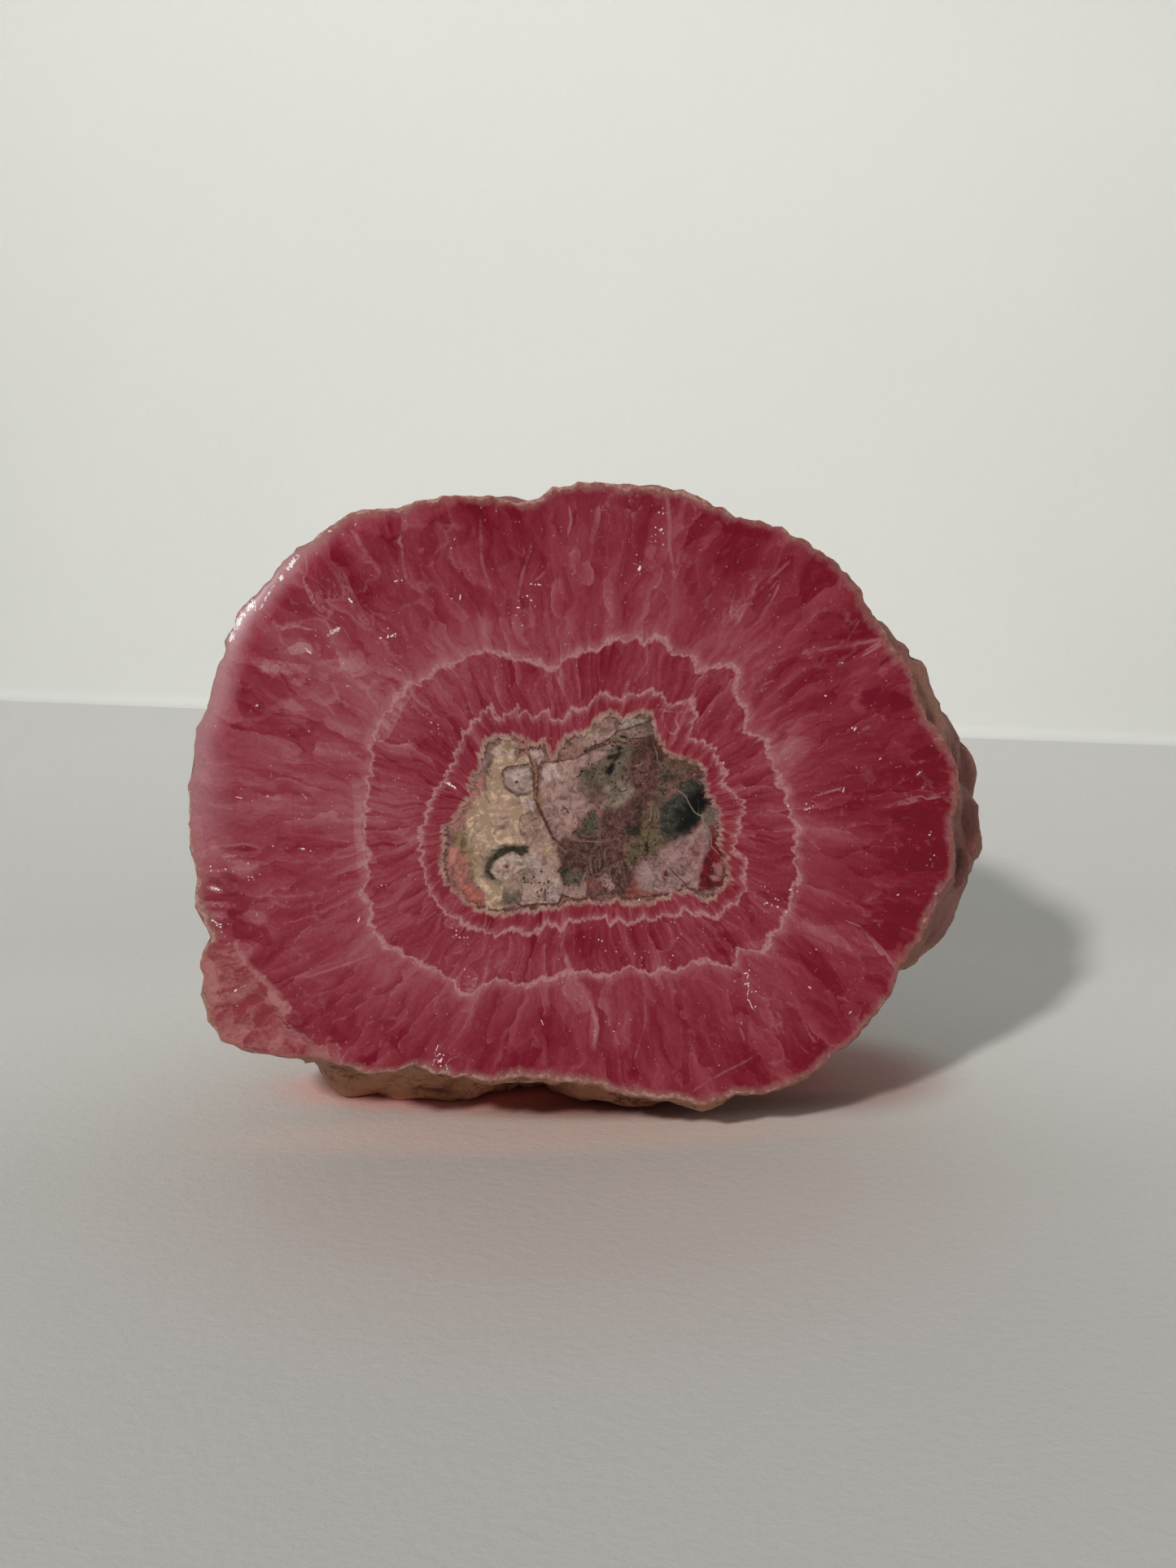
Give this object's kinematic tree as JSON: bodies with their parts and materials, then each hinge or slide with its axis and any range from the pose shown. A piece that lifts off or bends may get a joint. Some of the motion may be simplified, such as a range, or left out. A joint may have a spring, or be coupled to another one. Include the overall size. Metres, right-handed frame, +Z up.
{
  "type": "rhodochrosite nodule",
  "caption": "Raspberry-red rhodochrosite nodule with a flat polished cut in front and a lumpy brown rind behind, standing on its rind.",
  "frame": {"origin": "under the middle of the stone's box, at the height of the patch that it rests on", "axes": "+X to the right along the cut face, +Y from the cut face to the back of the stone, +Z up"},
  "size_m": [0.0936, 0.0638, 0.0788],
  "materials": {
    "rhodochrosite": "polished on the cut, rough on the rind"
  },
  "bodies": {
    "root": {"nodule": "rhodochrosite"}
  },
  "joints": []
}
